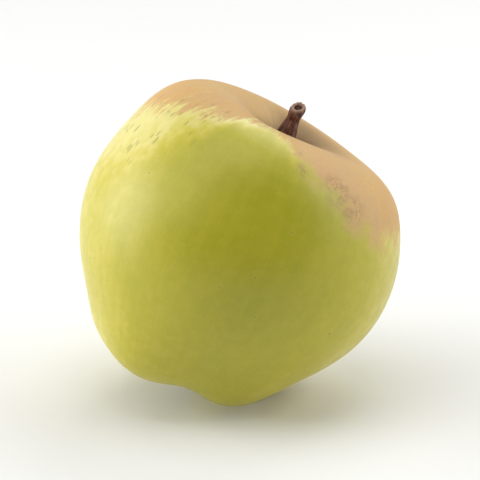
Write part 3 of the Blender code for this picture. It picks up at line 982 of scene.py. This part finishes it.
def build_stem(look):
    """The woody stem: ridged bark, a swollen end, and the scar where it broke off."""
    outline = stem_outline()
    masks = ("ridge", "scar_ring", "scar_pit")
    grid, placed, layers, meridian = turned_sheet(len(outline) - 1, look.segments, masks)
    ridge, scar_ring, scar_pit = layers
    foot = CREST_HEIGHT - CAVITY_DEPTH - STEM_SOCKET_DEPTH + GAP
    bend = outward(STEM_BEND_HEADING)
    low_side = outward(STEM_SLANT_HEADING)
    for vertex, ring, heading in placed:
        radius, height = outline[ring]
        share = height / STEM_LENGTH
        around = outward(heading)
        full = min(radius / STEM_WAIST_RADIUS, 1.0)
        ribs = STEM_RIDGE_SHARE * math.cos(STEM_RIDGES * heading)
        ribs *= 1 - 0.5 * smooth_step(0.7, 0.95, share)
        furrows = bark_noise(around, share, 3.1, 5) + 0.5 * bark_noise(around, share, 7.5, 16)
        lump = 0.07 * bark_noise(around, share, 1.3, 9) * smooth_step(0.55, 0.9, share)
        radius = radius * (1 + (ribs + lump) * full) + look.ridge_depth * furrows * full
        uneven = 0.00018 * noise.noise(Vector((1.7 * around.x, 1.7 * around.y, 3.0)))
        tilt = 0.00022 * around.x * smooth_step(0.9, 1.0, share)
        z = foot + height + (uneven + tilt) * smooth_step(0.9, 1.0, share)
        place = bend * STEM_BEND * smooth_step(*STEM_BEND_SPAN, share) + around * radius
        in_slant = smooth_step(*STEM_SLANT_SPAN, share)
        z -= math.tan(STEM_SLANT) * (STEM_END_RADIUS + place.dot(low_side)) * in_slant
        vertex.co = place + Vector((0.0, 0.0, z))
        edge = outline[ring][0] / STEM_END_RADIUS if share > 0.94 else 2.0
        vertex[ridge] = min(max(0.5 + 1.4 * furrows, 0.0), 1.0)
        vertex[scar_ring] = smooth_step(0.40, 0.58, edge) * fade(0.80, 1.0, edge)
        vertex[scar_pit] = smooth_step(0.12, 0.26, edge) * fade(0.38, 0.54, edge)
        vertex[meridian] = Vector((around.x, around.y, share))
    return finish_piece(grid, "apple_stem", bark_material(look), "stem_wood", "stem")


def sepal_line():
    """(radius, height) down the middle of a sepal: up from the ring, out, and back at the tip."""
    floor = BASIN_DEPTH - BASE_DROP - GAP
    foot = Vector((SEPAL_RING_RADIUS, floor - 0.0004))
    rise = Vector((SEPAL_RING_RADIUS + 0.10 * SEPAL_REACH, floor - 0.85 * SEPAL_FALL))
    roll = Vector((SEPAL_RING_RADIUS + 0.55 * SEPAL_REACH, floor - 1.25 * SEPAL_FALL))
    tip = Vector((SEPAL_RING_RADIUS + SEPAL_REACH, floor - 0.86 * SEPAL_FALL))
    return interpolate_bezier(foot, rise, roll, tip, SEPAL_LENGTH_STEPS + 1)


def build_sepal(number, surface):
    """One dried sepal: cupped, waved at its ragged edges, and rolled back at the tip."""
    line = sepal_line()
    grid = bmesh.new()
    meridian = grid.verts.layers.float_vector.new("meridian")
    bmesh.ops.create_grid(grid, x_segments=SEPAL_LENGTH_STEPS, y_segments=SEPAL_WIDTH_STEPS, size=0.5)
    turn = Matrix.Rotation(LOBE_HEADING + 2 * math.pi * (number + 0.5) / SEPALS, 3, "Z")
    for vertex in grid.verts:
        along, across = vertex.co.x + 0.5, 2 * vertex.co.y
        step = round(along * SEPAL_LENGTH_STEPS)
        here, after, before = line[step], line[min(step + 1, len(line) - 1)], line[max(step - 1, 0)]
        forward = (after - before).normalized()
        half_width = SEPAL_HALF_WIDTH * (1 - along) ** 0.75 * (1 + 0.9 * along) + SEPAL_TIP_HALF_WIDTH
        half_width *= 1 + 0.16 * abs(across) * noise.noise(Vector((9 * along, number, across)))
        lift = SEPAL_CUP * across**2 * (1 - along)
        lift += SEPAL_WAVE * across * math.sin(7 * along + 1.7 * number)
        lift += 0.00007 * math.cos(3 * math.pi * across) * (1 - along)
        lift += 0.00022 * noise.noise(Vector((4 * along, 1.5 * across, 3.0 * number)))
        radius, height = here.x + lift * forward.y, here.y - lift * forward.x
        vertex.co = turn @ Vector((radius, across * half_width, height))
        vertex[meridian] = Vector((across, along, number))
    piece = finish_piece(grid, f"sepal_leaf_{number + 1}", surface, "dry_sepal", f"sepal_{number + 1}")
    shell = piece.modifiers.new("thickness", "SOLIDIFY")
    shell.thickness = SEPAL_THICKNESS
    shell.offset = 0.0
    return piece


def build_stamens(look):
    """A short plug with the withered stamens bent out of it, each with its small dark head."""
    draw = random.Random(11)
    grid = bmesh.new()
    grid.verts.layers.float_vector.new("meridian")
    floor = BASIN_DEPTH - BASE_DROP
    plug = [Vector((0.0, 0.0, floor + z)) for z in (0.0008, 0.0, -0.00035, -0.00055, -0.0006)]
    bent_rod(grid, plug, [share * TUFT_RADIUS for share in (0.95, 1.0, 0.9, 0.6, 0.14)], 28)
    for number in range(look.stamens):
        heading = 2.4 * number
        ring = STAMEN_RING_RADIUS * math.sqrt((number + 0.5) / look.stamens) * 1.15
        lean = draw.uniform(0.10, 0.42) * ring / STAMEN_RING_RADIUS
        curl = draw.uniform(-0.35, 0.55)
        length = STAMEN_LENGTH * draw.uniform(0.75, 1.05)
        sideways = draw.uniform(-0.4, 0.4)
        points = []
        radii = []
        for i in range(9):
            share = i / 8
            out = ring + length * (lean * share + 0.35 * curl * share**2)
            turned = heading + sideways * share
            fall = length * share * (1 - 0.12 * share)
            points.append(Vector((out * math.cos(turned), out * math.sin(turned), floor - 0.0003 - fall)))
            head = smooth_step(0.74, 0.86, share) * (1 - 0.75 * smooth_step(0.93, 1.0, share))
            radii.append(STAMEN_RADIUS * (1 - 0.45 * share + 0.9 * head))
        bent_rod(grid, points, radii, 8)
    surface = dry_leaf_material("withered_stamens", look.stamen, look.stamen_pale)
    return finish_piece(grid, "stamen_tuft", surface, "dry_stamen", "stamens")


def build_down(look):
    """The pale hairs that stand on the floor and walls of the basin, in one mesh."""
    draw = random.Random(5)
    skin = smooth_curve(outline_knots(), HAIR_RINGS)[0]
    basin = [(r, z) for r, z in skin if z < 0 and r < HAIR_REACH]
    grid = bmesh.new()
    grid.verts.layers.float_vector.new("meridian")
    for _ in range(look.hairs):
        radius, height = basin[int(len(basin) * (1 - draw.random() ** 1.5))]
        heading = draw.uniform(-math.pi, math.pi)
        root = fruit_point(radius, height, heading) + Vector((0.0, 0.0, 0.00025))
        size = draw.uniform(0.5, 1.0) * HAIR_LENGTH * (1.15 - 0.5 * radius / HAIR_REACH)
        inward = -draw.uniform(0.1, 0.75) * outward(heading)
        sideways = draw.uniform(-0.7, 0.7) * sideways_of(heading)
        points = []
        for i in range(5):
            share = i / 4
            points.append(root + size * (Vector((0.0, 0.0, -share)) + (inward + sideways * share) * share))
        bent_rod(grid, points, [HAIR_RADIUS * (1 - 0.7 * i / 4) for i in range(5)], 3)
    surface = dry_leaf_material("basin_down", look.down, look.down_pale)
    return finish_piece(grid, "basin_down", surface, "dry_sepal")


# Stage

def area_light(name, power, target):
    """A square soft light, aimed at the apple."""
    heading, elevation, distance, width = LIGHTS[name]
    heading, elevation = math.radians(heading), math.radians(elevation)
    data = bpy.data.lights.new(name + "_light", "AREA")
    data.shape = "SQUARE"
    data.size = width
    data.energy = power
    light = place_object(name + "_light", data)
    level = math.cos(elevation) * distance
    offset = Vector((math.sin(heading) * level, -math.cos(heading) * level, math.sin(elevation) * distance))
    light.location = target + offset
    light.rotation_euler = (-offset).to_track_quat("-Z", "Y").to_euler()


def floor_material(look):
    made, tree, shader, place = new_material("pale_floor")
    clouds = add_clouds(tree, place, size=0.25, detail=2.0)
    darker = [0.985 * channel for channel in look.floor[:3]] + [1.0]
    connect(tree, shader, {
        "Base Color": mix_colours(tree, clouds, look.floor, darker),
        "Roughness": between(tree, clouds, 0.72, 0.80),
    })
    return made


def build_stage(look):
    """The pale floor, the soft lights, the even white surroundings and the camera."""
    scene = bpy.context.scene
    low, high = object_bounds()
    middle = (Vector(low) + Vector(high)) / 2
    grid = bmesh.new()
    bmesh.ops.create_grid(grid, x_segments=12, y_segments=12, size=FLOOR_HALF_WIDTH)
    floor = mesh_object(grid, "floor", floor_material(look))
    floor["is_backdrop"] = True
    for name in LIGHTS:
        area_light(name, getattr(look, name + "_power"), middle)
    scene.world = bpy.data.worlds.new("surroundings")
    scene.world.use_nodes = True
    surroundings = scene.world.node_tree.nodes["Background"]
    surroundings.inputs["Color"].default_value = (1.0, 1.0, 1.0, 1.0)
    surroundings.inputs["Strength"].default_value = look.fill
    data = bpy.data.cameras.new("camera")
    data.sensor_width = 36.0
    data.lens = data.sensor_width * CAMERA_DISTANCE / look.frame_width
    data.clip_start = 0.01
    camera = place_object("camera", data)
    back = Vector((0.0, -math.cos(CAMERA_ELEVATION), math.sin(CAMERA_ELEVATION)))
    camera.location = middle + CAMERA_DISTANCE * back
    camera.rotation_euler = (math.pi / 2 - CAMERA_ELEVATION, 0.0, 0.0)
    scene.camera = camera
    scene.view_settings.view_transform = "Standard"


# Operators

class APPLE_OT_make_skin(Operator):
    """Covers the fruit with its waxy skin and russet crown"""

    bl_idname = "apple.make_skin"
    bl_label = "Skin"

    def execute(self, context):
        build_skin(context.scene.apple_skin)
        return {"FINISHED"}


class APPLE_OT_make_stem(Operator):
    """Stands the woody stem in the cavity"""

    bl_idname = "apple.make_stem"
    bl_label = "Stem"

    def execute(self, context):
        build_stem(context.scene.apple_stem)
        return {"FINISHED"}


class APPLE_OT_make_sepals(Operator):
    """Sets the dried sepals round the basin's floor"""

    bl_idname = "apple.make_sepals"
    bl_label = "Sepals"

    def execute(self, context):
        look = context.scene.apple_flower
        surface = dry_leaf_material("dry_sepals", look.sepal, look.sepal_pale)
        for number in range(SEPALS):
            build_sepal(number, surface)
        return {"FINISHED"}


class APPLE_OT_make_stamens(Operator):
    """Sets the withered stamens in the middle of the basin"""

    bl_idname = "apple.make_stamens"
    bl_label = "Stamens"

    def execute(self, context):
        build_stamens(context.scene.apple_flower)
        return {"FINISHED"}


class APPLE_OT_make_down(Operator):
    """Grows the pale hairs in the basin"""

    bl_idname = "apple.make_down"
    bl_label = "Down"

    def execute(self, context):
        build_down(context.scene.apple_flower)
        return {"FINISHED"}


class APPLE_OT_make_stage(Operator):
    """Lays the floor and sets the lights and the camera"""

    bl_idname = "apple.make_stage"
    bl_label = "Stage"

    def execute(self, context):
        build_stage(context.scene.apple_stage)
        return {"FINISHED"}


class APPLE_PT_dressing(Panel):
    """Lists the apple's pieces with their settings"""

    bl_idname = "APPLE_PT_dressing"
    bl_label = "Leaning apple"
    bl_space_type = "VIEW_3D"
    bl_region_type = "UI"
    bl_category = "Apple"

    def draw(self, context):
        for settings_name, operators in PANEL_ROWS:
            box = self.layout.box()
            settings = getattr(context.scene, settings_name)
            for name in settings.__annotations__:
                box.prop(settings, name)
            for operator in operators:
                box.operator(operator.bl_idname)


SETTINGS = {
    "apple_skin": AppleSkinSettings,
    "apple_stem": AppleStemSettings,
    "apple_flower": AppleFlowerSettings,
    "apple_stage": AppleStageSettings,
}
OPERATORS = (
    APPLE_OT_make_skin, APPLE_OT_make_stem, APPLE_OT_make_sepals,
    APPLE_OT_make_stamens, APPLE_OT_make_down, APPLE_OT_make_stage,
)
PANEL_ROWS = (
    ("apple_skin", OPERATORS[:1]),
    ("apple_stem", OPERATORS[1:2]),
    ("apple_flower", OPERATORS[2:5]),
    ("apple_stage", OPERATORS[5:]),
)


def register():
    for name, settings in SETTINGS.items():
        bpy.utils.register_class(settings)
        setattr(bpy.types.Scene, name, PointerProperty(type=settings))
    for listed in (*OPERATORS, APPLE_PT_dressing):
        bpy.utils.register_class(listed)


def unregister():
    for listed in (APPLE_PT_dressing, *reversed(OPERATORS)):
        bpy.utils.unregister_class(listed)
    for name, settings in reversed(SETTINGS.items()):
        delattr(bpy.types.Scene, name)
        bpy.utils.unregister_class(settings)


def main():
    register()
    bpy.ops.apple.make_skin()
    bpy.ops.apple.make_stem()
    bpy.ops.apple.make_sepals()
    bpy.ops.apple.make_stamens()
    bpy.ops.apple.make_down()
    bpy.ops.apple.make_stage()


if __name__ == "__main__":
    main()
